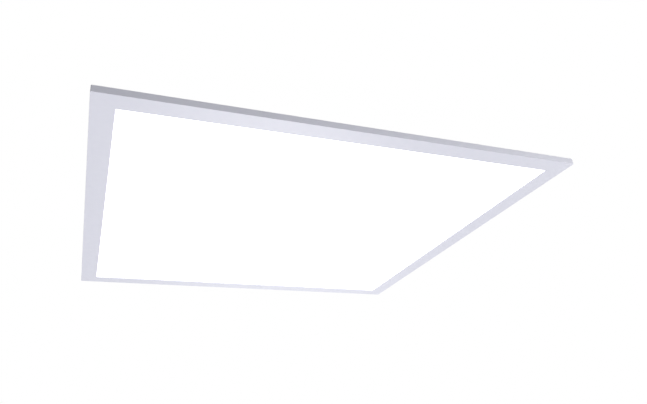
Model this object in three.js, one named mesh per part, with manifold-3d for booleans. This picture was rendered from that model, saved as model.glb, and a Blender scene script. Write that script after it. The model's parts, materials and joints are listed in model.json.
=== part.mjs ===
// A square recessed ceiling light: an edge-lit LED panel in a mitred aluminium frame, with its control gear
// in a hinged sheet-steel box on the back. Millimetres, +Z up. The origin is the centre of the frame's
// visible face, which lies in the plane z = 0 and shines down; the back looks up into the ceiling void.
// "Near" is the -Y side, "far" the +Y side, "left" -X and "right" +X.
import * as THREE from "three";
import { mergeVertices } from "three/addons/utils/BufferGeometryUtils.js";
import Module from "manifold-3d";

const wasm = await Module();
wasm.setup();

// ---- Driving dimensions ----
const SIDE = 595; // lay-in panel for a 600 mm ceiling grid
const HALF = SIDE / 2;
const RIM = 25; // width of the visible frame face
const FRAME_HEIGHT = 8;
const WALL = 1.4; // frame's outer wall
const LIP = 1.2; // thickness of the visible face
const SHELF_TOP = 6.7; // the inner flange that the back plate is screwed to
const SHELF = 1.2;
const SHELF_DEPTH = 12; // reach of that flange from the outer edge
const MITRE_GAP = 0.15; // each bar stops this far short of the corner's diagonal
const GRID_HEIGHT = 38; // height of the ceiling grid's tee above its flange
const STEEL = 0.8; // sheet thickness of the gear box and the clips
const GAP = 0.3; // between pieces that touch in the real assembly
const M3 = 1.5; // shank radius of the screws
const M3_HOLE = 1.8;

const OPTIC_EDGE = 3.6; // the optical sheets stop this far inside the outer edge
const DIFFUSER_Z = [1.3, 2.5];
const GUIDE_Z = [2.6, 5.1];
const REFLECTOR_Z = [5.15, 5.4];
const FOAM_Z = [5.5, 6.7];
const BACK_Z = [6.8, 7.4];
const BACK_EDGE = 1.9;
const BASE_Z = 7.5; // underside of everything that is fixed on the back plate

const LED_COUNT = 36;
const LED_PITCH = 16;
const LED_BAR = 580; // length

const BRACKET_SCREW = [48, 7.5]; // from the corner, along and in from one edge
const BRACKET = 1; // sheet thickness of the corner brackets

const BOX_X = 160; // half length of the gear box
const BOX_NEAR = 42;
const BOX_FAR = 138;
const BOX_TOP = 37.5;
const LID_Z = [BOX_TOP + GAP, BOX_TOP + GAP + STEEL];
const HINGE_R = 2.5; // outside radius of a knuckle
const HINGE_Y = BOX_FAR + 3;
const HINGE_Z = LID_Z[1] - HINGE_R;
const LID_FLANGE = 7.2; // depth of the lid's flanges, which end just above the mains grommet
const KNUCKLE_PITCH = 24;
const KNUCKLE = 23.5;
const LID_SCREW_Y = BOX_NEAR + 8;

const INLET = { y: 66, z: 19.6, hole: 9, bore: 5.2, lip: 1.5 };
const OUTLET = { y: 90, z: 21, hole: 4.5, bore: 2.9, lip: 1.5 };
const DRIVER = { x: [-50, 120], y: [67, 113], z: [8.6, 32.6], ear: 10, chamfer: 3 };
const SELECTOR = { x: [14, 62], y: [84, 96], z: [32.8, 35.6], knobs: [26, 50] };
const TERMINAL = { x: [-112, -88], y: [76, 104], z: [8.6, 26.6], poles: [81.6, 90, 98.4] };
const CLAMP = { x: -134, screw: 15.5 };
const EARTH = [-66.5, 128]; // the earth screw in the gear box's floor

const LEAD_R = 2.5;
const LEAD_Z = BACK_Z[1] + 0.2 + LEAD_R; // height of the lead's axis where it lies on the back plate
const CAP = { x: [263, 293.5], y: [7, 33], top: 18, wall: 1.6 };
const WIRE_DROP = [HALF - 8.6, 20]; // hole through the back plate and the right bar, under the entry cap

const CLIP_AXIS = [5.5, 9.5]; // in from the outer edge, and height
const CLIP_AT = 170; // along the side, each way from its middle

// ---- Finishes ----
function finish(color, roughness, metalness) {
  return new THREE.MeshStandardMaterial({ color, roughness, metalness });
}
const whitePaint = finish(0xe9e9ee, 0.38, 0.1);
const boxPaint = finish(0xe2e3e6, 0.5, 0.1);
const opal = finish(0xffffff, 0.6, 0);
const acrylic = finish(0xeef4f6, 0.08, 0);
const whiteFilm = finish(0xf8f8f8, 0.7, 0);
const foam = finish(0xd9dadc, 0.95, 0);
const circuitBoard = finish(0xf2f1ea, 0.5, 0.1);
const zinc = finish(0xb9bdc2, 0.35, 0.9);
const gearPlastic = finish(0xf0f0ec, 0.55, 0);
const whitePvc = finish(0xf1f1f0, 0.45, 0);
const blackRubber = finish(0x26272a, 0.8, 0);
const wireColours = {
  live: finish(0x6b4128, 0.45, 0),
  neutral: finish(0x2f6fb4, 0.45, 0),
  earth: finish(0x5aa23c, 0.45, 0),
};

// ---- Shapes and booleans ----
function toSolid(geometry) {
  const bare = geometry.clone();
  bare.deleteAttribute("normal");
  bare.deleteAttribute("uv");
  const merged = mergeVertices(bare, 1e-4);
  return new wasm.Manifold(
    new wasm.Mesh({
      numProp: 3,
      vertProperties: merged.attributes.position.array,
      triVerts: new Uint32Array(merged.index.array),
    }),
  );
}

function toGeometry(solid) {
  const { vertProperties, triVerts } = solid.getMesh();
  const geometry = new THREE.BufferGeometry();
  geometry.setAttribute("position", new THREE.BufferAttribute(vertProperties, 3));
  geometry.setIndex(new THREE.BufferAttribute(triVerts, 1));
  geometry.computeVertexNormals();
  return geometry;
}

function join(...geometries) {
  return toGeometry(geometries.map(toSolid).reduce((whole, piece) => whole.add(piece)));
}

function cut(body, ...tools) {
  return toGeometry(tools.map(toSolid).reduce((whole, tool) => whole.subtract(tool), toSolid(body)));
}

// A box between two values on each axis.
function box([x0, x1], [y0, y1], [z0, z1]) {
  const size = new THREE.BoxGeometry(x1 - x0, y1 - y0, z1 - z0);
  return size.translate((x0 + x1) / 2, (y0 + y1) / 2, (z0 + z1) / 2);
}

function about(centre, half) {
  return [centre - half, centre + half];
}

function rodZ(radius, [z0, z1], x = 0, y = 0, sides = 16) {
  const rod = new THREE.CylinderGeometry(radius, radius, z1 - z0, sides);
  return rod.rotateX(Math.PI / 2).translate(x, y, (z0 + z1) / 2);
}

function rodX(radius, [x0, x1], y, z, sides = 16) {
  const rod = new THREE.CylinderGeometry(radius, radius, x1 - x0, sides);
  return rod.rotateZ(Math.PI / 2).translate((x0 + x1) / 2, y, z);
}

// A flat outline in X and Y, given as points or a Shape, made solid between two heights.
function plate(outline, [z0, z1]) {
  const shape = Array.isArray(outline) ? new THREE.Shape(outline.map(([x, y]) => new THREE.Vector2(x, y))) : outline;
  const options = { depth: z1 - z0, bevelEnabled: false, curveSegments: 8 };
  return new THREE.ExtrudeGeometry(shape, options).translate(0, 0, z0);
}

// The same with an outline in Y and Z, made solid between two places along X.
function section(outline, [x0, x1]) {
  const turned = new THREE.Matrix4().makeBasis(
    new THREE.Vector3(0, 1, 0),
    new THREE.Vector3(0, 0, 1),
    new THREE.Vector3(1, 0, 0),
  );
  return plate(outline, [0, x1 - x0])
    .applyMatrix4(turned)
    .translate(x0, 0, 0);
}

// A turned piece on the Z axis, from [radius, height] points that start and end on the axis or close on themselves.
function turned(profile, sides = 12) {
  const points = profile.map(([r, z]) => new THREE.Vector2(r, z));
  return new THREE.LatheGeometry(points, sides).rotateX(Math.PI / 2);
}

// A wire is sampled at its own points, so short bends between long straights stay round.
class WireRoute extends THREE.CatmullRomCurve3 {
  getPointAt(t, target) {
    return this.getPoint(t, target);
  }
  getTangentAt(t, target) {
    return this.getTangent(t, target);
  }
}

function wireRoute(points) {
  return new WireRoute(
    points.map((p) => new THREE.Vector3(...p)),
    false,
    "centripetal",
  );
}

function wire(points, radius, sides = 8, stepsPerSpan = 2) {
  const round = new THREE.Shape().absarc(0, 0, radius, 0, 2 * Math.PI);
  // an arc gives two points for each division asked for, and its last point repeats the first
  const ring = new THREE.Shape(round.getPoints(sides / 2).slice(0, sides));
  const options = { extrudePath: wireRoute(points), steps: (points.length - 1) * stepsPerSpan };
  return new THREE.ExtrudeGeometry(ring, options);
}

const panel = new THREE.Group();

function add(name, geometry, material, parent = panel) {
  const mesh = new THREE.Mesh(geometry, material);
  mesh.name = name;
  parent.add(mesh);
  return mesh;
}

// A group turned by quarter turns about the panel's centre: 0 is the near side, 1 right, 2 far, 3 left.
function quarter(turns) {
  const group = new THREE.Group();
  group.rotation.z = (turns * Math.PI) / 2;
  panel.add(group);
  return group;
}

// ---- Frame ----
// The near bar: a C section whose two ends are cut on the diagonals.
function frameBar() {
  const shelfLow = SHELF_TOP - SHELF;
  const profile = [
    [0, 0],
    [RIM, 0],
    [RIM, LIP],
    [WALL, LIP],
    [WALL, shelfLow],
    [SHELF_DEPTH, shelfLow],
    [SHELF_DEPTH, SHELF_TOP],
    [WALL, SHELF_TOP],
    [WALL, FRAME_HEIGHT],
    [0, FRAME_HEIGHT],
  ];
  const bar = section(profile, [-1, 1]);
  const position = bar.attributes.position;
  for (let i = 0; i < position.count; i++) {
    const inward = position.getY(i);
    position.setX(i, Math.sign(position.getX(i)) * (HALF - inward - MITRE_GAP));
    position.setY(i, inward - HALF);
  }
  const [along, inward] = BRACKET_SCREW;
  const holes = [-1, 1].map((s) => rodZ(M3_HOLE, [4.5, 7.5], s * (HALF - along), inward - HALF, 12));
  return cut(bar, ...holes);
}

function makeFrame() {
  const bar = frameBar();
  const drop = rodZ(2.4, [4.5, 7.5], WIRE_DROP[1], -WIRE_DROP[0], 12);
  ["near", "right", "far", "left"].forEach((side, turns) => {
    add("frame_" + side, side === "right" ? cut(bar, drop) : bar, whitePaint, quarter(turns));
  });
}

// ---- Optics, from the face up ----
function makeOptics() {
  const sheet = about(0, HALF - OPTIC_EDGE);
  const foamSide = about(0, HALF - SHELF_DEPTH - 0.7);
  add("diffuser", box(sheet, sheet, DIFFUSER_Z), opal);
  add("light_guide", box(sheet, sheet, GUIDE_Z), acrylic);
  add("reflector_sheet", box(sheet, sheet, REFLECTOR_Z), whiteFilm);
  add("foam_sheet", box(foamSide, foamSide, FOAM_Z), foam);
}

// Two strips of LEDs stand in the near and far bars and shine into the light guide's edges.
function makeLedBars() {
  const strip = box(about(0, LED_BAR / 2), [1.5 - HALF, 2.5 - HALF], [1.5, 5.3]);
  const chips = Array.from({ length: LED_COUNT }, (_, i) => {
    const x = (i - (LED_COUNT - 1) / 2) * LED_PITCH;
    return box(about(x, 1.5), [2.4 - HALF, 3.2 - HALF], [3.2, 4.5]);
  });
  const bar = join(strip, ...chips);
  add("led_bar_near", bar, circuitBoard, quarter(0));
  add("led_bar_far", bar, circuitBoard, quarter(2));

  // The wire that links the two strips runs in the right bar's channel.
  const end = LED_BAR / 2 + GAP;
  const lane = HALF - 2.5;
  const bend = 1.5;
  const half = [
    [end, -lane, 3.4],
    [lane - bend, -lane, 3.4],
    [lane - 0.3 * bend, 0.3 * bend - lane, 3.4],
    [lane, bend - lane, 3.4],
    [lane, 3 * bend - lane, 3.4], // keeps the long run after the bend straight
    [lane, -lane / 2, 3.4],
  ];
  const mirrored = half.map(([x, y, z]) => [x, -y, z]).reverse();
  add("link_wire", wire([...half, [lane, 0, 3.4], ...mirrored], 0.6, 6), wireColours.live);
}

// ---- Back ----
function circleHole(x, y, r) {
  return new THREE.Path().absarc(x, y, r, 0, 2 * Math.PI, true);
}

function makeBackPlate() {
  const edge = HALF - BACK_EDGE;
  const outline = new THREE.Shape([
    new THREE.Vector2(-edge, -edge),
    new THREE.Vector2(edge, -edge),
    new THREE.Vector2(edge, edge),
    new THREE.Vector2(-edge, edge),
  ]);
  const [along, inward] = BRACKET_SCREW.map((d) => HALF - d);
  for (const sx of [-1, 1]) {
    for (const sy of [-1, 1]) {
      outline.holes.push(circleHole(sx * along, sy * inward, M3_HOLE));
      outline.holes.push(circleHole(sx * inward, sy * along, M3_HOLE));
    }
  }
  outline.holes.push(circleHole(...WIRE_DROP, 2.4));
  add("back_plate", plate(outline, BACK_Z), whitePaint);
}

// The near left corner's bracket: an L over the mitre with an upright ear for a tie wire.
function cornerBracket() {
  const [low, leg, far] = [BACK_EDGE, 15, 60];
  const gusset = 34;
  const chamfer = 3;
  const z = [BASE_Z, BASE_Z + BRACKET];
  const outline = [
    [low, low],
    [far - chamfer, low],
    [far, low + chamfer],
    [far, leg - chamfer],
    [far - chamfer, leg],
    [gusset, leg],
    [leg, gusset],
    [leg, far - chamfer],
    [leg - chamfer, far],
    [low + chamfer, far],
    [low, far - chamfer],
  ];
  const [along, inward] = BRACKET_SCREW;
  const base = cut(
    plate(outline, z),
    rodZ(M3_HOLE, [7, 9], along, inward, 12),
    rodZ(M3_HOLE, [7, 9], inward, along, 12),
  );
  const ear = new THREE.Shape().moveTo(-8, 0).lineTo(8, 0).lineTo(8, 4).absarc(0, 4, 8, 0, Math.PI);
  ear.holes.push(circleHole(0, 6, 2.5));
  const upright = plate(ear, [0, BRACKET])
    .rotateX(Math.PI / 2)
    .rotateZ(-Math.PI / 4)
    .translate((leg + gusset) / 2 - 0.2, (leg + gusset) / 2 - 0.2, BASE_Z + 0.2);
  return join(base, upright).translate(-HALF, -HALF, 0);
}

// A pan-head screw whose head sits on a surface at the given height.
function screw(seat, length, shank = M3) {
  const head = shank * 1.85;
  const height = shank * 1.2;
  const profile = [
    [0, seat - length],
    [shank, seat - length],
    [shank, seat],
    [head, seat],
    [head, seat + height * 0.5],
    [head * 0.7, seat + height],
    [0, seat + height],
  ];
  return turned(profile, 10);
}

function makeCorners() {
  const bracket = cornerBracket();
  const fixing = screw(BASE_Z + BRACKET + 0.1, 3);
  const [along, inward] = BRACKET_SCREW.map((d) => d - HALF);
  ["near_left", "near_right", "far_right", "far_left"].forEach((corner, turns) => {
    const group = quarter(turns);
    add("corner_bracket_" + corner, bracket, zinc, group);
    add("bracket_screw_" + corner + "_1", fixing, zinc, group).position.set(along, inward, 0);
    add("bracket_screw_" + corner + "_2", fixing, zinc, group).position.set(inward, along, 0);
  });
}

// ---- Grid clips ----
// Made for the near side: the flap lies flat, pointing inward, and folds up about its trunnions until its lip
// hooks over the top of the ceiling tee.
function clipBase() {
  const [inward, height] = CLIP_AXIS;
  const radius = 3.1;
  const foot = box(about(0, 27), [2.4, 14.4], [BASE_Z, BASE_Z + STEEL]);
  const lug = new THREE.Shape()
    .moveTo(inward - radius, BASE_Z)
    .lineTo(inward + radius, BASE_Z)
    .absarc(inward, height, radius, 0, Math.PI);
  lug.holes.push(circleHole(inward, height, 1.3));
  const lugs = [-14.5, 13.7].map((x) => section(lug, [x, x + STEEL]));
  return join(foot, ...lugs).translate(0, -HALF, 0);
}

function clipFlap() {
  const [inward, height] = CLIP_AXIS;
  const reach = inward + GRID_HEIGHT + 0.4 - height; // the lip clears the tee's top by 0.4 mm
  const width = about(0, 13);
  const z = about(height, STEEL / 2);
  const leaf = box(width, [inward - 0.9, reach + STEEL], z);
  const lip = box(width, [reach, reach + STEEL], [z[0], z[1] + 12]);
  return join(leaf, lip, rodX(1, about(0, 15.4), inward, height, 12)).translate(0, -HALF, 0);
}

function makeGridClips() {
  const base = clipBase();
  const flap = clipFlap();
  for (const [side, turns] of [
    ["right", 1],
    ["left", 3],
  ]) {
    for (const end of ["near", "far"]) {
      const group = quarter(turns);
      const place = (end === "near") === (side === "right") ? -CLIP_AT : CLIP_AT;
      add(`clip_base_${side}_${end}`, base, zinc, group).position.x = place;
      add(`grid_clip_${side}_${end}`, flap, zinc, group).position.x = place;
    }
  }
}

// ---- Gear box ----
function knuckles(places) {
  return places.map((x) => rodX(HINGE_R, about(x, KNUCKLE / 2), HINGE_Y, HINGE_Z, 20));
}

function hingeBore() {
  return rodX(1.6, about(0, 80), HINGE_Y, HINGE_Z, 16);
}

function makeTray() {
  const inner = BOX_X - STEEL;
  const z = [BASE_Z, BOX_TOP];
  const depth = [BOX_NEAR, BOX_FAR];
  const places = [-2, 0, 2].map((n) => n * KNUCKLE_PITCH);
  const shell = cut(
    box(about(0, BOX_X), depth, z),
    box(about(0, inner), [BOX_NEAR + STEEL, BOX_FAR - STEEL], [BASE_Z + STEEL, BOX_TOP + 1]),
  );
  const feet = [-1, 1].flatMap((s) =>
    [BOX_NEAR + 12, BOX_FAR - 12].map((y) =>
      box([s * (BOX_X - 1), s * (BOX_X + 14)].sort((a, b) => a - b), about(y, 8), [BASE_Z, BASE_Z + STEEL]),
    ),
  );
  const curls = places.map((x) =>
    box(about(x, KNUCKLE / 2), [BOX_FAR - 0.4, HINGE_Y], [HINGE_Z - HINGE_R, HINGE_Z - HINGE_R + STEEL]),
  );
  const screwTab = box(about(0, 8), [BOX_NEAR, BOX_NEAR + 14], [BOX_TOP - STEEL, BOX_TOP]);
  const holes = [
    hingeBore(),
    rodX(INLET.hole, [-BOX_X - 2, -inner + 2], INLET.y, INLET.z, 24),
    rodX(OUTLET.hole, [inner - 2, BOX_X + 2], OUTLET.y, OUTLET.z, 16),
    rodZ(2.2, [BOX_TOP - 2, BOX_TOP + 1], 0, LID_SCREW_Y, 12),
  ];
  const base = [BASE_Z - 1, BASE_Z + STEEL + 1];
  for (const s of [-1, 1]) {
    for (const y of [BOX_NEAR + 12, BOX_FAR - 12]) holes.push(rodZ(M3_HOLE, base, s * (BOX_X + 7.5), y, 12));
    holes.push(rodZ(M3_HOLE, base, CLAMP.x, INLET.y + s * CLAMP.screw, 12));
  }
  for (const x of driverScrews()) holes.push(rodZ(M3_HOLE, base, x, OUTLET.y, 12));
  holes.push(rodZ(2.3, base, ...EARTH, 12));
  add("gear_tray", cut(join(shell, ...feet, ...curls, ...knuckles(places), screwTab), ...holes), boxPaint);
}

function makeLid() {
  const outer = BOX_X + 1.6;
  const near = BOX_NEAR - 1.2;
  const flange = [LID_Z[0] - LID_FLANGE, LID_Z[1]];
  const places = [-1, 1].map((n) => n * KNUCKLE_PITCH);
  const top = box(about(0, outer), [near, BOX_FAR + 0.2], LID_Z);
  const front = box(about(0, outer), [near, near + STEEL], flange);
  const ends = [-outer, outer - STEEL].map((x) => box([x, x + STEEL], [near, BOX_FAR - 2], flange));
  const tongues = places.map((x) => box(about(x, KNUCKLE / 2), [BOX_FAR - 1, HINGE_Y], LID_Z));
  const window = box(
    [SELECTOR.x[0] - 4, SELECTOR.x[1] + 4],
    [SELECTOR.y[0] - 2, SELECTOR.y[1] + 2],
    [LID_Z[0] - 1, LID_Z[1] + 1],
  );
  const screwHole = rodZ(M3_HOLE, [LID_Z[0] - 1, LID_Z[1] + 1], 0, LID_SCREW_Y, 12);
  const lid = join(top, front, ...ends, ...tongues, ...knuckles(places));
  add("gear_lid", cut(lid, hingeBore(), window, screwHole), boxPaint);
  add("hinge_pin", rodX(1.3, about(0, 61), HINGE_Y, HINGE_Z, 16), zinc);

  // A thumb screw that stays in the lid and holds it to the tray's inward tab.
  const head = LID_Z[1] + 0.1;
  const thumb = turned(
    [
      [0, 30],
      [M3, 30],
      [M3, head],
      [5, head],
      [5, head + 4],
      [4.2, head + 4.8],
      [0, head + 4.8],
    ],
    16,
  );
  add("lid_screw", thumb, zinc).position.set(0, LID_SCREW_Y, 0);
}

// A rubber grommet in a hole of an end wall, whose outer face is at x = wall.
function grommet(wall, { hole, bore, lip }) {
  const outward = Math.sign(wall);
  const waist = hole - 0.4;
  const flange = hole + lip;
  const profile = [
    [bore, 2.2],
    [flange, 2.2],
    [flange, GAP],
    [waist, GAP],
    [waist, -STEEL - GAP],
    [flange, -STEEL - GAP],
    [flange, -STEEL - 1.8],
    [bore, -STEEL - 1.8],
    [bore, 2.2],
  ].reverse();
  return turned(profile, 20)
    .rotateY((outward * Math.PI) / 2)
    .translate(wall, 0, 0);
}

// ---- Inside the gear box ----
function driverScrews() {
  return [DRIVER.x[0] - DRIVER.ear / 2, DRIVER.x[1] + DRIVER.ear / 2];
}

function makeDriver() {
  const { x, y, z, ear, chamfer: c } = DRIVER;
  const outline = [
    [x[0] + c, y[0]],
    [x[1] - c, y[0]],
    [x[1], y[0] + c],
    [x[1], y[1] - c],
    [x[1] - c, y[1]],
    [x[0] + c, y[1]],
    [x[0], y[1] - c],
    [x[0], y[0] + c],
  ];
  const earTop = z[0] + 3;
  const ears = box([x[0] - ear, x[1] + ear], about(OUTLET.y, 10), [z[0], earTop]);
  const holes = driverScrews().map((at) => rodZ(M3_HOLE, [z[0] - 1, earTop + 1], at, OUTLET.y, 12));
  add("led_driver", cut(join(plate(outline, z), ears), ...holes), gearPlastic);
  driverScrews().forEach((at, i) => {
    add("driver_screw_" + (i + 1), screw(earTop + 0.1, 4), zinc).position.set(at, OUTLET.y, 0);
  });
}

// Two three-position slide switches on the driver, reached through the lid's window.
function makeSelectors() {
  const { x, y, z, knobs } = SELECTOR;
  const [travel, knobHalf, floor, top] = [2.5, 2.5, 33.9, 37.4];
  const slots = knobs.map((k) =>
    box(about(k, knobHalf + travel + 0.6), about(OUTLET.y, 2.4), [floor, z[1] + 1]),
  );
  add("selector_switch", cut(box(x, y, z), ...slots), blackRubber);
  ["power_selector", "colour_selector"].forEach((name, i) => {
    add(name, box(about(knobs[i], knobHalf), about(OUTLET.y, 2), [floor + GAP, top]), gearPlastic);
  });
}

// A three-pole push-in block: a sprung button over each pole lets its wire go.
function makeTerminals() {
  const { x, y, z, poles } = TERMINAL;
  const pocketX = [x[0] + 3, x[0] + 8.6];
  const pocketFloor = z[1] - 8;
  const hollows = poles.flatMap((at) => [
    box(pocketX, about(at, 2.2), [pocketFloor, z[1] + 1]),
    box([x[0] - 1, x[0] + 8], about(at, 1.7), [12, 15.4]),
    rodX(1.5, [x[1] - 6, x[1] + 1], at, 13.5, 12),
  ]);
  add("terminal_block", cut(box(x, y, z), ...hollows), gearPlastic);
  Object.keys(wireColours).forEach((pole, i) => {
    const button = box([pocketX[0] + GAP, pocketX[1] - GAP], about(poles[i], 1.9), [pocketFloor + 2, z[1] + 2]);
    add("release_button_" + pole, button, wireColours[pole]);
  });
}

function makeInnerWires() {
  const start = TERMINAL.x[1] - 4;
  const out = TERMINAL.x[1] + 3;
  const [live, neutral, earth] = TERMINAL.poles;
  const toDriver = (from, to) => [
    [start, from, 13.5],
    [out, from, 13.5],
    [out + 8, from, 15.5],
    [out + 17, (from + to) / 2, 19],
    [out + 26, to, 20.3],
    [DRIVER.x[0] - GAP, to, 20.3],
  ];
  const toStud = [
    [start, earth, 13.5],
    [out, earth, 13.5],
    [out + 8, earth + 2, 13.2],
    [out + 15, earth + 9, 11.5],
    [out + 18, earth + 17, 10],
    [EARTH[0], EARTH[1] - 5.5, 9.8],
  ];
  add("wire_live", wire(toDriver(live, 83), 1.1), wireColours.live);
  add("wire_neutral", wire(toDriver(neutral, 97), 1.1), wireColours.neutral);
  add("wire_earth", wire(toStud, 1.1), wireColours.earth);
  add("earth_screw", screw(DRIVER.z[0] + 1.2, 2.2, 2), zinc).position.set(...EARTH, 0);
}

// The mains cable's clamp: an arch with a foot on each side.
function makeCableClamp() {
  const foot = [DRIVER.z[0], DRIVER.z[0] + 3];
  const arch = [
    [-20, foot[0]],
    [-6.5, foot[0]],
    [-6.5, 14],
    [-4, 16.6],
    [4, 16.6],
    [6.5, 14],
    [6.5, foot[0]],
    [20, foot[0]],
    [20, foot[1]],
    [11, foot[1]],
    [11, 16.6],
    [8, 19.6],
    [-8, 19.6],
    [-11, 16.6],
    [-11, foot[1]],
    [-20, foot[1]],
  ];
  const at = [-1, 1].map((s) => s * CLAMP.screw);
  const holes = at.map((y) => rodZ(M3_HOLE, [foot[0] - 1, foot[1] + 1], 0, y, 12));
  add("cable_clamp", cut(section(arch, [-4, 4]), ...holes), gearPlastic).position.set(CLAMP.x, INLET.y, 0);
  at.forEach((y, i) => {
    const fixing = add("clamp_screw_" + (i + 1), screw(foot[1] + 0.1, 4), zinc);
    fixing.position.set(CLAMP.x, INLET.y + y, 0);
  });
}

// ---- LED lead, from the driver over the back plate to the entry cap ----
function makeLead() {
  const route = [
    [DRIVER.x[1] + 0.4, 90, 21],
    [138, 90, 21],
    [152, 90, 21],
    [166, 90, 20.6],
    [176, 89.5, 17.2],
    [186, 87, 12.2],
    [196, 81.5, LEAD_Z],
    [206, 71.5, LEAD_Z],
    [214, 58, LEAD_Z],
    [221, 43, LEAD_Z],
    [230, 30.5, LEAD_Z],
    [242, 22.5, LEAD_Z],
    [255, 20, LEAD_Z],
    [266, 20, LEAD_Z],
    [273, 20, LEAD_Z],
  ];
  add("led_lead", wire(route, LEAD_R, 10), whitePvc);

  const clip = leadClip();
  const curve = wireRoute(route);
  [7, 10].forEach((span, i) => {
    const along = (span + 0.1) / (route.length - 1);
    const at = curve.getPoint(along);
    const heading = curve.getTangent(along);
    const saddle = add("lead_clip_" + (i + 1), clip, whitePvc);
    saddle.position.set(at.x, at.y, 0);
    saddle.rotation.z = Math.atan2(heading.y, heading.x);
  });
}

// A saddle over the lead, which runs along its X axis, with a stuck-down foot on each side.
function leadClip() {
  const [inner, outer, thick] = [LEAD_R + 0.5, LEAD_R + 1.7, 1.2];
  const arch = new THREE.Shape()
    .moveTo(-9, BASE_Z)
    .lineTo(-inner, BASE_Z)
    .lineTo(-inner, LEAD_Z)
    .absarc(0, LEAD_Z, inner, Math.PI, 0, true)
    .lineTo(inner, BASE_Z)
    .lineTo(9, BASE_Z)
    .lineTo(9, BASE_Z + thick)
    .lineTo(outer, BASE_Z + thick)
    .lineTo(outer, LEAD_Z)
    .absarc(0, LEAD_Z, outer, 0, Math.PI)
    .lineTo(-outer, BASE_Z + thick)
    .lineTo(-9, BASE_Z + thick);
  return section(arch, [-3.5, 3.5]);
}

function makeEntryCap() {
  const { x, y, top, wall } = CAP;
  const shell = box(x, y, [BASE_Z, top]);
  const ears = box(about((x[0] + x[1]) / 2, 4.5), [y[0] - 8, y[1] + 8], [BASE_Z, BASE_Z + 2]);
  const cavity = box([x[0] + wall, x[1] - wall], [y[0] + wall, y[1] - wall], [BASE_Z - 1, top - wall]);
  const mouth = box([x[0] - 1, x[0] + wall + 1], about(WIRE_DROP[1], LEAD_R + 0.4), [BASE_Z - 1, LEAD_Z]);
  const arch = rodX(LEAD_R + 0.4, [x[0] - 1, x[0] + wall + 1], WIRE_DROP[1], LEAD_Z, 16);
  const holes = [y[0] - 4.2, y[1] + 4.2].map((at) => rodZ(M3_HOLE, [7, 11], (x[0] + x[1]) / 2, at, 12));
  add("entry_cap", cut(join(shell, ears), cavity, mouth, arch, ...holes), gearPlastic);
}

function makeGrommets() {
  add("inlet_grommet", grommet(-BOX_X, INLET), blackRubber).position.set(0, INLET.y, INLET.z);
  add("outlet_grommet", grommet(BOX_X, OUTLET), blackRubber).position.set(0, OUTLET.y, OUTLET.z);
}

makeFrame();
makeOptics();
makeLedBars();
makeBackPlate();
makeCorners();
makeGridClips();
makeTray();
makeLid();
makeGrommets();
makeDriver();
makeSelectors();
makeTerminals();
makeInnerWires();
makeCableClamp();
makeLead();
makeEntryCap();

export default panel;
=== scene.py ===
import json
import math

import bmesh
import bpy
from mathutils import Matrix, Vector

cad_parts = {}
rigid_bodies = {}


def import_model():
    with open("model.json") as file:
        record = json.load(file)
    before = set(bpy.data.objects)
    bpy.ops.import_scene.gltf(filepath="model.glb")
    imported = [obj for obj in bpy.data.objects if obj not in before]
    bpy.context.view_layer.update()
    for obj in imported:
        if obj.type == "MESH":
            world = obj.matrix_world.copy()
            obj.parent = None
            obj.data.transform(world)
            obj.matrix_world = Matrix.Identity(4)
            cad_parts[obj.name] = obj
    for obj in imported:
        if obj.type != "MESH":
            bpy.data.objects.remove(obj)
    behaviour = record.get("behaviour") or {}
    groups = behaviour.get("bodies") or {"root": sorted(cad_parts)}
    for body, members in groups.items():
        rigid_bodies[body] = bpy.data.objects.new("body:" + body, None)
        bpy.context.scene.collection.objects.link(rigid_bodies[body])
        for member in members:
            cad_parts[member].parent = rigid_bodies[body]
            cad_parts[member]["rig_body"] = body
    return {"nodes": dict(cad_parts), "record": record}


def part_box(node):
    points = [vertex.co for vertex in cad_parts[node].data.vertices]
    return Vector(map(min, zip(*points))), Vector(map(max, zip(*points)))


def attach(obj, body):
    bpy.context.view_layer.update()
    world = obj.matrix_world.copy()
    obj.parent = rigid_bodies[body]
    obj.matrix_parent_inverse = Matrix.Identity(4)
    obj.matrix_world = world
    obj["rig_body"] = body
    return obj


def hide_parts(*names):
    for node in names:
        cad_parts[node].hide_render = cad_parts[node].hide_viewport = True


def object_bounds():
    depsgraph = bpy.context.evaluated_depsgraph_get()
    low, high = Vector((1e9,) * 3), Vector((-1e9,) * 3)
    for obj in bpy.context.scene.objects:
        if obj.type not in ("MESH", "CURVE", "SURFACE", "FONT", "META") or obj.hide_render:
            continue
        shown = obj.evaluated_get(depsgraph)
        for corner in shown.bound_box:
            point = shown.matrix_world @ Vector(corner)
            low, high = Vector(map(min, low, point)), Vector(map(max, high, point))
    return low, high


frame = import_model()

# A square recessed LED panel. Sizes below are in millimetres, as in the CAD, and turned into metres by MM.
MM = 0.001
cad_low, cad_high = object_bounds()
HALF = cad_high.x / MM

# ---- Camera, fitted to the outline and the aperture in the photograph ----
EYE = Vector((-0.2766, -0.8123, -0.3553))
AZIMUTH, ELEVATION, ROLL = (math.radians(a) for a in (22.62, 25.14, -4.148))
LENS, SENSOR = 33.05, 36.0


def make_camera():
    """Looks up at the panel from below its near side, a little to the left."""
    sa, ca, se, ce = math.sin(AZIMUTH), math.cos(AZIMUTH), math.sin(ELEVATION), math.cos(ELEVATION)
    forward = Vector((sa * ce, ca * ce, se))
    level, rise = Vector((ca, -sa, 0)), Vector((-sa * se, -ca * se, ce))
    right = level * math.cos(ROLL) + rise * math.sin(ROLL)
    up = right.cross(forward)
    data = bpy.data.cameras.new("camera")
    data.lens, data.sensor_width, data.sensor_fit = LENS, SENSOR, "HORIZONTAL"
    data.clip_start, data.clip_end = 0.01, 50
    camera = bpy.data.objects.new("camera", data)
    bpy.context.scene.collection.objects.link(camera)
    camera.matrix_world = Matrix.Translation(EYE) @ Matrix((right, up, -forward)).transposed().to_4x4()
    bpy.context.scene.camera = camera


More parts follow.
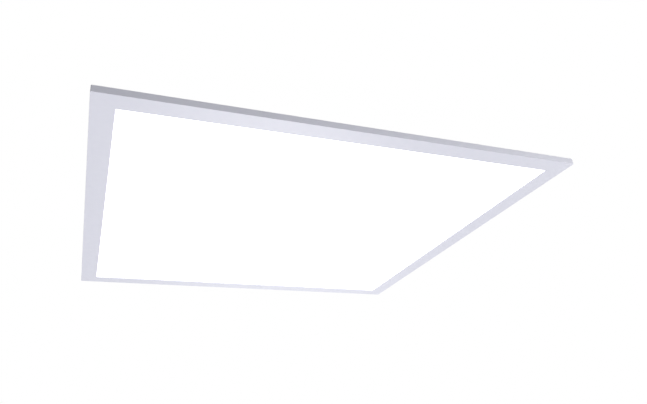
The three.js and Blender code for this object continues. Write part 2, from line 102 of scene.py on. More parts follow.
# ---- Materials ----
def surface(name, dark, light, rough, grain, relief, cells=False, **constants):
    """A procedural finish in the object's own space: mottled colour, uneven roughness and a fine relief.

    grain is how many of the fine marks go into a metre, and relief is their height in millimetres.
    """
    material = bpy.data.materials.new(name)
    material.use_nodes = True
    nodes, link = material.node_tree.nodes, material.node_tree.links.new
    shader = nodes["Principled BSDF"]
    where = nodes.new("ShaderNodeTexCoord").outputs["Object"]

    def noise(scale, detail):
        texture = nodes.new("ShaderNodeTexNoise")
        texture.inputs["Scale"].default_value = scale
        texture.inputs["Detail"].default_value = detail
        link(where, texture.inputs["Vector"])
        return texture.outputs["Fac"]

    mottle = noise(grain / 12, 5)
    if cells:
        crystals = nodes.new("ShaderNodeTexVoronoi")
        crystals.inputs["Scale"].default_value = grain / 4
        link(where, crystals.inputs["Vector"])
        grey = nodes.new("ShaderNodeRGBToBW")
        link(crystals.outputs["Color"], grey.inputs[0])
        mottle = grey.outputs[0]
    ramp = nodes.new("ShaderNodeValToRGB")
    ramp.color_ramp.elements[0].position, ramp.color_ramp.elements[1].position = 0.25, 0.75
    ramp.color_ramp.elements[0].color, ramp.color_ramp.elements[1].color = (*dark, 1), (*light, 1)
    link(mottle, ramp.inputs["Fac"])
    link(ramp.outputs["Color"], shader.inputs["Base Color"])

    spread = nodes.new("ShaderNodeMapRange")
    for key, value in zip(("From Min", "From Max", "To Min", "To Max"), (0.3, 0.7, *rough)):
        spread.inputs[key].default_value = value
    link(noise(grain / 5, 3), spread.inputs["Value"])
    link(spread.outputs["Result"], shader.inputs["Roughness"])

    bump = nodes.new("ShaderNodeBump")
    bump.inputs["Strength"].default_value = 0.6
    bump.inputs["Distance"].default_value = relief * MM
    link(noise(grain, 2), bump.inputs["Height"])
    link(bump.outputs["Normal"], shader.inputs["Normal"])
    for key, value in constants.items():
        shader.inputs[key.replace("_", " ")].default_value = value
    return material


def lit_opal():
    """The diffuser, lit from behind, a shade unevenly between the two LED bars."""
    material = surface("opal", (0.9, 0.9, 0.9), (0.94, 0.94, 0.94), (0.5, 0.62), 2600, 0.012)
    nodes, link = material.node_tree.nodes, material.node_tree.links.new
    shader = nodes["Principled BSDF"]
    glow = nodes.new("ShaderNodeTexNoise")
    glow.inputs["Scale"].default_value = 7
    link(nodes["Texture Coordinate"].outputs["Object"], glow.inputs["Vector"])
    ramp = nodes.new("ShaderNodeValToRGB")
    ramp.color_ramp.elements[0].color, ramp.color_ramp.elements[1].color = (0.97, 0.97, 0.97, 1), (1, 1, 1, 1)
    link(glow.outputs["Fac"], ramp.inputs["Fac"])
    link(ramp.outputs["Color"], shader.inputs["Emission Color"])
    shader.inputs["Emission Strength"].default_value = 1.2
    return material


def make_materials():
    return {
        "frame_paint": surface("satin_paint", (0.735, 0.74, 0.835), (0.755, 0.76, 0.85), (0.38, 0.47), 900, 0.004),
        "box_paint": surface("powder_coat", (0.66, 0.67, 0.69), (0.70, 0.71, 0.73), (0.46, 0.6), 1500, 0.03),
        "opal_diffuser": lit_opal(),
        "clear_acrylic": surface("acrylic", (0.86, 0.92, 0.93), (0.9, 0.95, 0.96), (0.05, 0.12), 700, 0.01,
                                 Transmission_Weight=0.85, IOR=1.49),
        "white_film": surface("film", (0.86, 0.86, 0.86), (0.91, 0.91, 0.91), (0.5, 0.7), 900, 0.01),
        "grey_foam": surface("foam", (0.52, 0.53, 0.54), (0.72, 0.73, 0.74), (0.9, 1.0), 1800, 0.2),
        "circuit_board": surface("solder_mask", (0.82, 0.81, 0.74), (0.88, 0.87, 0.82), (0.35, 0.5), 1400, 0.02),
        "zinc_steel": surface("zinc", (0.5, 0.52, 0.56), (0.66, 0.68, 0.71), (0.3, 0.46), 900, 0.012,
                              cells=True, Metallic=0.95),
        "gear_plastic": surface("moulded_plastic", (0.78, 0.78, 0.75), (0.83, 0.83, 0.8), (0.44, 0.56), 2200, 0.03),
        "black_plastic": surface("black_plastic", (0.018, 0.018, 0.02), (0.035, 0.035, 0.04), (0.4, 0.55),
                                 2200, 0.04),
        "white_pvc": surface("pvc", (0.78, 0.78, 0.77), (0.84, 0.84, 0.83), (0.32, 0.44), 1600, 0.02),
        "grey_rubber": surface("rubber", (0.03, 0.03, 0.032), (0.06, 0.06, 0.063), (0.68, 0.85), 1900, 0.05),
        "brown_insulation": surface("brown", (0.12, 0.045, 0.02), (0.17, 0.065, 0.03), (0.32, 0.44), 1600, 0.02),
        "blue_insulation": surface("blue", (0.02, 0.12, 0.4), (0.035, 0.18, 0.5), (0.32, 0.44), 1600, 0.02),
        "earth_insulation": surface("green", (0.06, 0.26, 0.03), (0.1, 0.36, 0.05), (0.32, 0.44), 1600, 0.02),
        "stripe": surface("yellow", (0.7, 0.55, 0.02), (0.82, 0.66, 0.04), (0.32, 0.44), 1600, 0.02),
    }


# ---- Mesh helpers ----
SHARP_EDGE = math.radians(33)  # soften() rounds edges sharper than this
FLAT_ANGLE = math.radians(0.5)  # facets that meet at less are one flat face of the CAD
MERGE = 2e-6  # metres within which vertices are one


def fillet(points, radius, steps=3):
    """A closed outline with each corner rounded, by less where its sides are short."""
    out = []
    for i, corner in enumerate(points):
        corner = Vector(corner)
        before, after = Vector(points[i - 1]) - corner, Vector(points[(i + 1) % len(points)]) - corner
        turn = before.angle(after)
        reach = min(radius / math.tan(turn / 2), 0.45 * before.length, 0.45 * after.length)
        start, end = corner + before.normalized() * reach, corner + after.normalized() * reach
        for k in range(steps + 1):
            t = k / steps
            out.append(tuple((1 - t) ** 2 * start + 2 * t * (1 - t) * corner + t * t * end))
    return out


def loft(bm, rings, closed=False):
    """Faces between rings of vertices of equal count, with end caps unless the rings close on themselves."""
    made = [[bm.verts.new(Vector(p) * MM) for p in ring] for ring in rings]
    count = len(made[0])
    pairs = list(zip(made, made[1:])) + ([(made[-1], made[0])] if closed else [])
    for a, b in pairs:
        for i in range(count):
            j = (i + 1) % count
            bm.faces.new((a[i], a[j], b[j], b[i]))
    if not closed:
        bm.faces.new(made[0][::-1])
        bm.faces.new(made[-1])
    return made


def prism(bm, outline, low, high, inset=0.0, drop=0.0):
    """An upright prism. With an inset, its top edge is rounded over that far in and drop down."""
    centre = Vector((sum(p[0] for p in outline), sum(p[1] for p in outline))) / len(outline)
    half = max((Vector(p) - centre).length for p in outline)
    rings = [[(x, y, low) for x, y in outline], [(x, y, high - drop) for x, y in outline]]
    if inset:
        for k in (1, 2, 3):
            angle = k * math.pi / 6
            share = 1 - inset * (1 - math.cos(angle)) / half
            level = high - drop * (1 - math.sin(angle))
            rings.append([(*(centre + (Vector(p) - centre) * share), level) for p in outline])
    loft(bm, rings)


def lathe(bm, profile, sides=48, spot=(0, 0, 0), turn=None):
    """A closed (radius, height) outline turned about the Z axis, then turned and put at a spot."""
    rings = []
    for k in range(sides):
        c, s = math.cos(2 * math.pi * k / sides), math.sin(2 * math.pi * k / sides)
        rings.append([(r * c, r * s, z) for r, z in profile])
    made = [vertex for ring in loft(bm, rings, closed=True) for vertex in ring]
    move = Matrix.Translation(Vector(spot) * MM) @ (turn or Matrix.Identity(4))
    bmesh.ops.transform(bm, matrix=move, verts=made)
    bmesh.ops.remove_doubles(bm, verts=made, dist=1e-7)  # the points on the axis


def soften(bm, width, segments=2):
    """Rounds every edge whose faces meet at more than SHARP_EDGE."""
    sharp = [e for e in bm.edges if e.is_manifold and e.calc_face_angle(0) > SHARP_EDGE]
    bmesh.ops.bevel(bm, geom=sharp, offset=width * MM, segments=segments, profile=0.5,
                    affect="EDGES", clamp_overlap=True)


def route(points, steps=8):
    """Points along a centripetal Catmull-Rom curve through the given ones, as the CAD's wires run."""
    pts = [Vector(p) for p in points]
    pts = [2 * pts[0] - pts[1], *pts, 2 * pts[-1] - pts[-2]]
    out = []
    for p0, p1, p2, p3 in zip(pts, pts[1:], pts[2:], pts[3:]):
        t1 = (p1 - p0).length ** 0.5
        t2 = t1 + (p2 - p1).length ** 0.5
        t3 = t2 + (p3 - p2).length ** 0.5
        for k in range(steps):
            t = t1 + (t2 - t1) * k / steps
            a1 = p0 * (t1 - t) / t1 + p1 * t / t1
            a2 = p1 * (t2 - t) / (t2 - t1) + p2 * (t - t1) / (t2 - t1)
            a3 = p2 * (t3 - t) / (t3 - t2) + p3 * (t - t2) / (t3 - t2)
            b1 = a1 * (t2 - t) / t2 + a2 * t / t2
            b2 = a2 * (t3 - t) / (t3 - t1) + a3 * (t - t1) / (t3 - t1)
            out.append(b1 * (t2 - t) / (t2 - t1) + b2 * (t - t1) / (t2 - t1))
    return [*out, Vector(points[-1])]


def tube(bm, path, radius, sides=16):
    """A round tube along a path, whose section doesn't twist."""
    side = (path[1] - path[0]).cross(Vector((0, 0, 1))).normalized()
    rings = []
    for i, at in enumerate(path):
        heading = (path[min(i + 1, len(path) - 1)] - path[max(i - 1, 0)]).normalized()
        side = (side - heading * side.dot(heading)).normalized()
        other = heading.cross(side)
        turns = [2 * math.pi * k / sides for k in range(sides)]
        rings.append([at + radius * (side * math.cos(a) + other * math.sin(a)) for a in turns])
    loft(bm, rings)


def piece(name, bm, slot, replaces=(), body="root", angle=35.0):
    """A finished object on its body, with the material of its slot."""
    stray = [e for e in bm.edges if not e.link_faces]  # such as a lathe's axis
    bmesh.ops.delete(bm, geom=stray, context="EDGES")
    bmesh.ops.recalc_face_normals(bm, faces=bm.faces)
    mesh = bpy.data.meshes.new(name)
    bm.to_mesh(mesh)
    bm.free()
    mesh.shade_smooth()
    mesh.set_sharp_from_angle(angle=math.radians(angle))
    mesh.materials.append(materials[slot])
    obj = bpy.data.objects.new(name, mesh)
    bpy.context.scene.collection.objects.link(obj)
    # without it, the rounded edges would shade the flats unevenly
    flat = obj.modifiers.new("flat_faces", "WEIGHTED_NORMAL")
    flat.mode, flat.weight, flat.keep_sharp = "FACE_AREA", 100, True
    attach(obj, body)
    if replaces:
        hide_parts(*replaces)
    return obj


def refined(node, width=0.2, segments=2, extra=None):
    """A piece for a CAD node: its flat faces whole again, its sharp edges rounded, and any extra shape."""
    source = frame["nodes"][node]
    low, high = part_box(node)
    # rounding can throw a point far out where short edges meet, so a smaller one is taken until none leaves the box
    for share in (1, 0.5, 0.25, 0):
        bm = bmesh.new()
        bm.from_mesh(source.data)
        bmesh.ops.remove_doubles(bm, verts=bm.verts, dist=MERGE)
        bmesh.ops.dissolve_limit(bm, angle_limit=FLAT_ANGLE, verts=bm.verts, edges=bm.edges)
        if share:
            soften(bm, width * share, segments)
        out = max(max(low[i] - v.co[i], v.co[i] - high[i]) for v in bm.verts for i in range(3))
        if out < 0.02 * MM or not share:
            break
        bm.free()
    if extra:
        extra(bm)
    return piece(node + "_piece", bm, slot_of[node], [node], source["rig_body"])


# ---- Frame ----
RIM, HEIGHT, WALL, LIP = 25.0, 8.0, 1.4, 1.2
SHELF_TOP, SHELF, SHELF_DEPTH = 6.7, 1.2, 12.0
CORNER = 1.2  # radius of the frame's outer corners, seen from above
MITRE = 0.02  # half of the hairline between two bars


def make_frame():
    """Four bars of one rolled section, which meet on the diagonals in a hairline."""
    shelf_low = SHELF_TOP - SHELF
    outline = [(0, 0), (RIM, 0), (RIM, LIP), (WALL, LIP), (WALL, shelf_low), (SHELF_DEPTH, shelf_low),
               (SHELF_DEPTH, SHELF_TOP), (WALL, SHELF_TOP), (WALL, HEIGHT), (0, HEIGHT)]
    section = fillet(outline, 0.32, 3)
    for turns, side in enumerate(("near", "right", "far", "left")):
        rings = []
        for end in (-1, 1):
            # from the diagonal round to the straight at one end, and back at the other
            angles = [math.radians(225 + 9 * k) for k in range(6)]
            half = []
            for a in angles:
                ring = []
                for inward, z in section:
                    radius, centre = max(CORNER - inward, 0), max(CORNER, inward) - HALF
                    x = centre + radius * math.cos(a) + MITRE
                    ring.append((-end * x, centre + radius * math.sin(a), z))
                half.append(ring)
            rings += half if end == -1 else half[::-1]
        bm = bmesh.new()
        loft(bm, [[(-x, y, z) for x, y, z in ring] for ring in rings])
        bmesh.ops.remove_doubles(bm, verts=bm.verts, dist=MERGE)
        bmesh.ops.dissolve_degenerate(bm, dist=MERGE, edges=bm.edges)
        spin = Matrix.Rotation(turns * math.pi / 2, 4, "Z")
        bmesh.ops.transform(bm, matrix=spin, verts=bm.verts)
        piece("bar_" + side, bm, "frame_paint", ["frame_" + side])


def emboss(bm, x, y, length, width=11.0, height=0.55, base=7.38):
    """A pressed rib with round ends, low and smooth, along X."""
    rings = []
    for level, shrink in ((0, 0), (0.35, 1.2), (0.8, 2.6), (1.0, 4.0)):
        r = width / 2 - shrink
        ring = []
        for end in (1, -1):
            for k in range(13):
                a = math.radians(-90 + 15 * k)
                along, across = length / 2 + r * math.cos(a), r * math.sin(a)
                ring.append((x + end * along, y + end * across, base + height * level))
        rings.append(ring)
    loft(bm, rings)


def make_back():
    def ribs(bm):
        for y in (-225, -170, -115, -60, -5, 195, 240):
            emboss(bm, 0, y, 330)

    refined("back_plate", 0.2, 2, ribs)


# ---- Fixings ----
M3, M4 = 1.5, 2.0  # shank radii
HEAD_HEIGHT = 1.2  # of a pan head, in shank radii
PLATE_SEAT, FOOT_SEAT, CAP_SEAT = 7.45, 8.35, 9.55  # heights at which heads bear on the plate, tray feet and cap
CLIP_PLACE = 170  # of a clip's middle, to each side of its frame bar's middle


def screw_mesh(shank, length):
    """A pan-head screw with a cross recess, its seat at height 0."""
    head, height = shank * 1.85, shank * HEAD_HEIGHT
    angles = [math.radians(6 * k) for k in range(15)]
    dome = [(head * math.cos(a), height * (0.35 + 0.65 * math.sin(a))) for a in angles]
    profile = [(0, -length), (shank * 0.9, -length), (shank, 0.3 - length), (shank, 0), (head * 0.96, 0),
               (head, height * 0.1), *dome, (0, height)]
    bm = bmesh.new()
    lathe(bm, profile, 40)
    solid = bpy.data.meshes.new("screw")
    bm.to_mesh(solid)
    bm.free()
    bm = bmesh.new()
    for size in ((1.75 * shank, 0.36 * shank), (0.36 * shank, 1.75 * shank)):
        half = [s / 2 for s in size]
        ring = [(-half[0], -half[1]), (half[0], -half[1]), (half[0], half[1]), (-half[0], half[1])]
        low, high = height * 0.42, height + 1
        loft(bm, [[(x * 0.55, y * 0.8, low) for x, y in ring], [(x * 1.15, y * 1.05, high) for x, y in ring]])
    cutter_mesh = bpy.data.meshes.new("recess")
    bmesh.ops.recalc_face_normals(bm, faces=bm.faces)
    bm.to_mesh(cutter_mesh)
    bm.free()
    whole, cutter = bpy.data.objects.new("screw", solid), bpy.data.objects.new("recess", cutter_mesh)
    for obj in (whole, cutter):
        bpy.context.scene.collection.objects.link(obj)
    cut = whole.modifiers.new("recess", "BOOLEAN")
    cut.object, cut.operation, cut.solver, cut.use_self = cutter, "DIFFERENCE", "EXACT", True
    bpy.context.view_layer.update()
    made = bpy.data.meshes.new_from_object(whole.evaluated_get(bpy.context.evaluated_depsgraph_get()))
    for obj in (whole, cutter):
        bpy.data.objects.remove(obj)
    return made


def screws(name, mesh, spots, replaces=()):
    """The same screw at each (x, y, seat height), each turned a little differently."""
    bm = bmesh.new()
    for k, spot in enumerate(spots):
        start = len(bm.verts)
        bm.from_mesh(mesh)
        bm.verts.ensure_lookup_table()
        move = Matrix.Translation(Vector(spot) * MM) @ Matrix.Rotation(0.7 * k, 4, "Z")
        bmesh.ops.transform(bm, matrix=move, verts=bm.verts[start:])
    return piece(name, bm, "zinc_steel", replaces)


def seat_of(node, height):
    """The middle of a screw's head, where it bears on what it holds: the head's height below the node's top."""
    low, high = (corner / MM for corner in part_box(node))
    return ((low.x + high.x) / 2, (low.y + high.y) / 2, high.z - height)


def make_fixings():
    m3, m4 = screw_mesh(M3, 3.0), screw_mesh(M4, 2.2)
    corners = [c + n for c in ("near_left", "near_right", "far_right", "far_left") for n in ("_1", "_2")]
    groups = {
        "bracket_screws": ["bracket_screw_" + c for c in corners],
        "driver_screws": ["driver_screw_1", "driver_screw_2"],
        "clamp_screws": ["clamp_screw_1", "clamp_screw_2"],
    }
    for name, nodes in groups.items():
        screws(name, m3, [seat_of(n, M3 * HEAD_HEIGHT) for n in nodes], nodes)
    screws("earth_screw_piece", m4, [seat_of("earth_screw", M4 * HEAD_HEIGHT)], ["earth_screw"])

    edge = HALF - 7.5
    along = (-100, 0, 100)
    rim = [(a, s * edge, PLATE_SEAT) for a in along for s in (-1, 1)]
    rim += [(y, x, z) for x, y, z in rim]
    screws("plate_screws", m3, rim)
    screws("tray_screws", m3, [(sx * 167.5, y, FOOT_SEAT) for sx in (-1, 1) for y in (54, 126)])
    screws("cap_screws", m3, [(278.25, y, CAP_SEAT) for y in (2.8, 37.2)])

    # domed rivets through the clip bases
    bm = bmesh.new()
    dome = [(2.2 * math.cos(a), 0.95 * math.sin(a)) for a in (math.radians(9 * k) for k in range(11))]
    for s in (-1, 1):
        for y in (-CLIP_PLACE, CLIP_PLACE):
            for d in (-21, 21):
                lathe(bm, [(0, 0), *dome[:-1], (0, 0.95)], 28, (s * (HALF - 10.5), y + d, 8.32))
    piece("clip_rivets", bm, "zinc_steel")

    # the earth wire's ring tag, crimped on its end
    x, y, _ = seat_of("earth_screw", M4 * HEAD_HEIGHT)
    bm = bmesh.new()
    lathe(bm, fillet([(2.15, 8.75), (4.2, 8.75), (4.2, 9.55), (2.15, 9.55)], 0.15), 36, (x, y, 0))
    barrel = [(1.15, 0), (1.65, 0), (1.65, 4.5), (1.15, 4.5)]
    lathe(bm, fillet(barrel, 0.15), 28, (x, y - 8.3, 9.8), Matrix.Rotation(-math.pi / 2, 4, "X"))
    piece("earth_tag", bm, "zinc_steel")


def make_thumb_screw():
    """Knurled; it stays in the lid."""
    low, high = (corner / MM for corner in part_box("lid_screw"))
    x, y, teeth = (low.x + high.x) / 2, (low.y + high.y) / 2, 30
    radius, foot = (high.x - low.x) / 2, high.z - 4.8
    rings = []
    # height above the foot, share of the radius, depth of the knurl
    levels = ((0, 0.93, 0), (0.4, 1, 0.22), (3.6, 1, 0.22), (4.1, 0.93, 0), (4.3, 0.72, 0), (4.8, 0.62, 0))
    for level, share, depth in levels:
        ring = []
        for k in range(2 * teeth):
            a = math.pi * k / teeth
            r = radius * share - (depth if k % 2 else 0)
            ring.append((x + r * math.cos(a), y + r * math.sin(a), foot + level))
        rings.append(ring)
    bm = bmesh.new()
    loft(bm, rings)
    shank = [(0, low.z), (1.2, low.z), (M3, low.z + 0.5), (M3, foot + 0.2), (0, foot + 0.2)]
    lathe(bm, shank, 24, (x, y, 0))
    piece("thumb_screw", bm, "zinc_steel", ["lid_screw"], "lid", 25)


# ---- Gear box ----
EAR = 10  # length of the driver's fixing ear at each end
WIRE, LEAD = 1.1, 2.5  # radii over the insulation


def make_grommets():
    for node, bore, waist in (("inlet_grommet", 5.2, 8.6), ("outlet_grommet", 2.9, 4.1)):
        low, high = (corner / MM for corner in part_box(node))
        outward = 1 if low.x > 0 else -1
        wall = low.x + 2.6 if outward > 0 else high.x - 2.6
        flange = (high.z - low.z) / 2
        profile = [(bore, 2.2), (flange, 2.2), (flange, 0.3), (waist, 0.3), (waist, -1.1), (flange, -1.1),
                   (flange, -2.6), (bore, -2.6)]
        bm = bmesh.new()
        spot = (wall, (low.y + high.y) / 2, (low.z + high.z) / 2)
        lathe(bm, fillet(profile, 0.6, 4), 56, spot, Matrix.Rotation(outward * math.pi / 2, 4, "Y"))
        piece(node + "_piece", bm, "grey_rubber", [node])


def rounded_box(bm, x, y, z, corner, inset=0.0, drop=0.0):
    outline = fillet([(x[0], y[0]), (x[1], y[0]), (x[1], y[1]), (x[0], y[1])], corner, 5)
    prism(bm, outline, *z, inset, drop)


def make_driver():
    """A moulded case in two halves, with ribs on its top each side of the selector switch."""
    low, high = (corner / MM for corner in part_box("led_driver"))
    x, y, bottom, top = (low.x + EAR, high.x - EAR), (low.y, high.y), low.z, high.z
    middle = (y[0] + y[1]) / 2
    bm = bmesh.new()
    rounded_box(bm, x, y, (bottom, 23.5), 3)
    rounded_box(bm, (x[0] + 0.6, x[1] - 0.6), (y[0] + 0.6, y[1] - 0.6), (23.3, 24.4), 2.6)
    rounded_box(bm, x, y, (24.1, top - 0.8), 3, 1.2, 1.2)
    for a, b in ((x[0] + 4, 9), (67, x[1] - 4)):
        for k in range(-3, 4):
            at = middle + 5.6 * k
            rounded_box(bm, (a, b), (at - 0.9, at + 0.9), (top - 1.2, top), 0.85, 0.3, 0.3)
    rounded_box(bm, (12, 64), (middle - 8, middle + 8), (top - 1.2, top), 1.2, 0.3, 0.3)
    inside = 0.4  # how far in from the case's end an ear is measured from
    for end in (low.x + EAR + inside, high.x - EAR - inside):
        s = 1 if end > 0 else -1
        span = sorted((end - s, end + s * (EAR + inside)))
        rounded_box(bm, span, (middle - 10, middle + 10), (bottom, bottom + 3), 2.5, 0.5, 0.5)
        for w in (-8.6, 8.6):
            rounded_box(bm, sorted((end - s, end + s * 6)), (middle + w - 0.8, middle + w + 0.8),
                        (bottom + 2, bottom + 7), 0.5, 0.4, 0.4)
    piece("driver_case", bm, "gear_plastic", ["led_driver"])


def make_selectors():
    refined("selector_switch", 0.25)
    for node, body in (("power_selector", "power_slider"), ("colour_selector", "colour_slider")):
        low, high = (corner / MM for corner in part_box(node))
        bm = bmesh.new()
        rounded_box(bm, (low.x, high.x), (low.y, high.y), (low.z, high.z - 0.9), 0.4, 0.2, 0.2)
        for share in (0.16, 0.5, 0.84):
            at = low.x + (high.x - low.x) * share
            rib = (at - 0.42, at + 0.42)
            rounded_box(bm, rib, (low.y + 0.1, high.y - 0.1), (high.z - 1.1, high.z), 0.3, 0.25, 0.25)
        piece(node + "_piece", bm, "gear_plastic", [node], body)


TERMINAL = {"x": (-112.0, -88.0), "poles": (81.6, 90.0, 98.4)}


def make_wires():
    """Short insulated wires inside the box, the earth's in green and yellow."""
    start, out = TERMINAL["x"][1] - 4, TERMINAL["x"][1] + 3
    live, neutral, earth = TERMINAL["poles"]
    x, y, _ = seat_of("earth_screw", M4 * HEAD_HEIGHT)
    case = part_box("led_driver")[0].x / MM + EAR - 0.3
    paths = {
        "live": [(start, live, 13.5), (out, live, 13.5), (out + 8, live, 15.5), (out + 17, (live + 83) / 2, 19),
                 (out + 26, 83, 20.3), (case, 83, 20.3)],
        "neutral": [(start, neutral, 13.5), (out, neutral, 13.5), (out + 8, neutral, 15.5),
                    (out + 17, (neutral + 97) / 2, 19), (out + 26, 97, 20.3), (case, 97, 20.3)],
        "earth": [(start, earth, 13.5), (out, earth, 13.5), (out + 8, earth + 2, 13.2), (out + 15, earth + 9, 11.5),
                  (out + 18, earth + 17, 10), (x, y - 5.5, 9.8)],
    }
    slots = {"live": "brown_insulation", "neutral": "blue_insulation", "earth": "earth_insulation"}
    sides = 16
    for pole, points in paths.items():
        bm = bmesh.new()
        tube(bm, route(points), WIRE, sides)
        obj = piece("insulated_wire_" + pole, bm, slots[pole], ["wire_" + pole])
        if pole == "earth":
            obj.data.materials.append(materials["stripe"])
            for face in obj.data.polygons:
                along = face.index % sides  # which of the strips that run the wire's length
                face.material_index = int(len(face.vertices) == 4 and along in (2, 3, 4, 10, 11, 12))


def make_lead():
    """The LED lead over the back plate, with a moulded boot where it leaves the driver."""
    points = [(120.4, 90, 21), (138, 90, 21), (152, 90, 21), (166, 90, 20.6), (176, 89.5, 17.2), (186, 87, 12.2),
              (196, 81.5, 10.1), (206, 71.5, 10.1), (214, 58, 10.1), (221, 43, 10.1), (230, 30.5, 10.1),
              (242, 22.5, 10.1), (255, 20, 10.1), (266, 20, 10.1), (273, 20, 10.1)]
    bm = bmesh.new()
    tube(bm, route(points), LEAD, 24)
    boot = [(2.45, 0), (4.2, 0), (4.2, 2), (3.9, 2.4), (3.9, 3.4), (3.6, 3.8), (3.6, 4.8), (3.3, 5.2), (3.3, 6.2),
            (3.0, 6.6), (3.0, 8), (2.45, 8)]
    lathe(bm, fillet(boot, 0.2, 2), 36, (120.2, 90, 21), Matrix.Rotation(math.pi / 2, 4, "Y"))
    piece("lead", bm, "white_pvc", ["led_lead"])


CLIP_AXIS = (5.5, 9.5)  # in from the outer edge, and height
SHEET = 0.8
LIP_HEIGHT = 12.3  # of a clip's upright end, above its axis


def folded_strip(bm, path, width, thickness):
    """A strip of sheet bent along a path of (inward, height) points, reaching width to each side of x = 0."""
    path = [Vector(p) for p in path]
    normals = []
    for i in range(len(path)):
        along = (path[min(i + 1, len(path) - 1)] - path[max(i - 1, 0)]).normalized()
        normals.append(Vector((-along.y, along.x)))
    left, right = ([p + s * thickness / 2 * n for p, n in zip(path, normals)] for s in (1, -1))
    outline = [*left, *reversed(right)]
    rings = []
    for x, shrink in ((-width, 0.12), (-width + 0.12, 0), (width - 0.12, 0), (width, 0.12)):
        ring = []
        for i, p in enumerate(outline):
            n = normals[i] if i < len(path) else -normals[2 * len(path) - 1 - i]
            ring.append((x, *(p - shrink * n)))
        rings.append(ring)
    loft(bm, rings)


def make_clips():
    """Four grid clips, each a folded flap on trunnions between two lugs of its riveted base."""
    inward, height = CLIP_AXIS
    reach = inward + 38 + 0.4 - height + SHEET / 2
    bend = 1.0
    for side, turn in (("right", 1), ("left", 3)):
        for end in ("near", "far"):
            place = -CLIP_PLACE if (end == "near") == (side == "right") else CLIP_PLACE
            move = Matrix.Rotation(turn * math.pi / 2, 4, "Z") @ Matrix.Translation(Vector((place, -HALF, 0)) * MM)

            # the flap: leaf, rolled bend and upright lip
            turned = [(reach - bend + bend * math.sin(a), height + bend - bend * math.cos(a))
                      for a in (math.radians(18 * k) for k in range(1, 6))]
            bm = bmesh.new()
            leaf = [(inward - 0.5, height), (reach - bend, height)]
            folded_strip(bm, [*leaf, *turned, (reach, height + LIP_HEIGHT)], 13, SHEET)
            axle = Matrix.Rotation(math.pi / 2, 4, "Y")
            lathe(bm, [(0, -15.4), (0.8, -15.4), (1, -15.2), (1, 15.2), (0.8, 15.4), (0, 15.4)], 28,
                  (0, inward, height), axle)
            lathe(bm, [(0, -12.9), (1.1, -12.9), (1.1, 12.9), (0, 12.9)], 28, (0, inward, height), axle)
            bmesh.ops.transform(bm, matrix=move, verts=bm.verts)
            clip = f"{side}_{end}"
            piece("clip_flap_" + clip, bm, "zinc_steel", ["grid_clip_" + clip], "clip_" + clip)

            # the base: a plate with round corners and two lugs
            bm = bmesh.new()
            rounded_box(bm, (-27, 27), (2.4, 14.4), (7.5, 7.5 + SHEET), 2, 0.12, 0.12)
            for x in (-14.5, 13.7):
                top = [(inward + 3.1 * math.cos(a), height + 3.1 * math.sin(a))
                       for a in (math.radians(12 * k) for k in range(16))]
                outline = [*top, (inward - 3.1, 7.6), (inward + 3.1, 7.6)]
                loft(bm, [[(x + d, *p) for p in outline] for d in (0, SHEET)])
            bmesh.ops.transform(bm, matrix=move, verts=bm.verts)
            piece("clip_plate_" + clip, bm, "zinc_steel", ["clip_base_" + clip])


def make_rest():
    """The other pieces keep their CAD shape, with rounded edges or a better finish."""
    widths = {"gear_tray": 0.3, "gear_lid": 0.3, "hinge_pin": 0.3, "terminal_block": 0.4, "cable_clamp": 0.5,
              "lead_clip_1": 0.3, "lead_clip_2": 0.3, "entry_cap": 0.6}
    for node, width in widths.items():
        refined(node, width, 3)
    for c in ("near_left", "near_right", "far_right", "far_left"):
        refined("corner_bracket_" + c, 0.2)
    for pole in ("live", "neutral", "earth"):
        refined("release_button_" + pole, 0.35)
    kept = ("diffuser", "light_guide", "reflector_sheet", "foam_sheet", "led_bar_near", "led_bar_far", "link_wire")
    for node in kept:
        data = frame["nodes"][node].data
        data.materials.clear()
        data.materials.append(materials[slot_of[node]])


# ---- Stage ----
FLOOR = -2.4  # metres, well below the panel, which hangs at a ceiling


def soft_box(name, spot, aim, size, power):
    """A white area light of (width, height) metres, aimed at a point, which the camera doesn't see."""
    data = bpy.data.lights.new(name, "AREA")
    data.shape, data.size, data.size_y, data.energy = "RECTANGLE", *size, power
    light = bpy.data.objects.new(name, data)
    bpy.context.scene.collection.objects.link(light)
    light.location = spot
    light.visible_camera = False
    light.rotation_euler = (Vector(aim) - Vector(spot)).to_track_quat("-Z", "Y").to_euler()


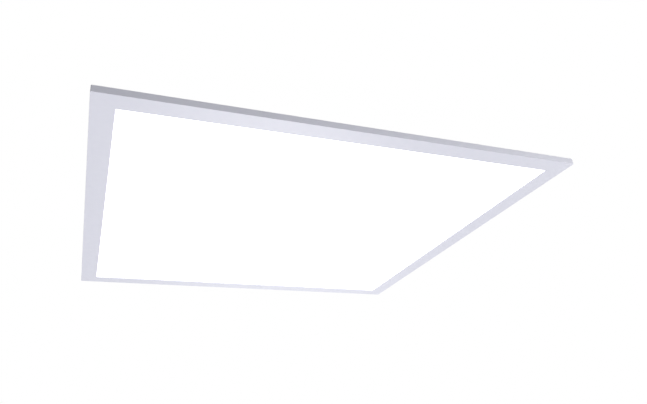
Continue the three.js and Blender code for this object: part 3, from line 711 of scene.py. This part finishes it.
def make_stage():
    bm = bmesh.new()
    bmesh.ops.create_grid(bm, x_segments=4, y_segments=4, size=9, matrix=Matrix.Translation((0, 0, FLOOR)))
    mesh = bpy.data.meshes.new("floor")
    bm.to_mesh(mesh)
    bm.free()
    mesh.materials.append(surface("floor", (0.84, 0.84, 0.84), (0.88, 0.88, 0.88), (0.8, 0.95), 40, 0.05))
    floor = bpy.data.objects.new("floor", mesh)
    bpy.context.scene.collection.objects.link(floor)

    world = bpy.data.worlds.new("studio")
    bpy.context.scene.world = world
    world.use_nodes = True
    nodes, link = world.node_tree.nodes, world.node_tree.links.new
    nodes.clear()
    seen, fill, mix = (nodes.new("ShaderNode" + k) for k in ("Background", "Background", "MixShader"))
    seen.inputs["Strength"].default_value = 1.0
    seen.inputs["Color"].default_value = fill.inputs["Color"].default_value = (1, 1, 1, 1)
    fill.inputs["Strength"].default_value = 0.05
    link(nodes.new("ShaderNodeLightPath").outputs["Is Camera Ray"], mix.inputs["Fac"])
    link(fill.outputs[0], mix.inputs[1])
    link(seen.outputs[0], mix.inputs[2])
    link(mix.outputs[0], nodes.new("ShaderNodeOutputWorld").inputs["Surface"])

    # their powers were set so that the rims and the near edge shade as they do in the photo
    soft_box("below", (-0.05, -0.25, -1.65), (-0.05, -0.1, 0), (2, 2), 7.6)
    soft_box("right_low", (1.6, 0.3, -1.0), (0.2, 0.1, 0), (1.2, 1.2), 3.5)
    soft_box("sheen", (0.35, 1.15, -0.95), (-0.1, -0.29, 0), (0.75, 0.75), 6)
    soft_box("front_right", (1.2, -1.4, 0.15), (0.15, -0.29, 0), (0.8, 0.8), 14.8)
    soft_box("above", (-1.2, 0.3, 1.5), (0, 0, 0), (1.1, 1.1), 26)
    soft_box("ceiling", (0, 0, 5), (0, 0, 0), (7, 7), 150)
    soft_box("floor_wash", (0, 0, -1.8), (0, 0, FLOOR), (30, 30), 1120)
    bpy.context.scene.view_settings.view_transform = "Standard"


make_camera()
slot_of = {s["node"]: s["material_slot"] for s in frame["record"]["subparts"]}
materials = make_materials()
make_frame()
make_back()
make_fixings()
make_thumb_screw()
make_grommets()
make_driver()
make_selectors()
make_wires()
make_lead()
make_clips()
make_rest()
make_stage()
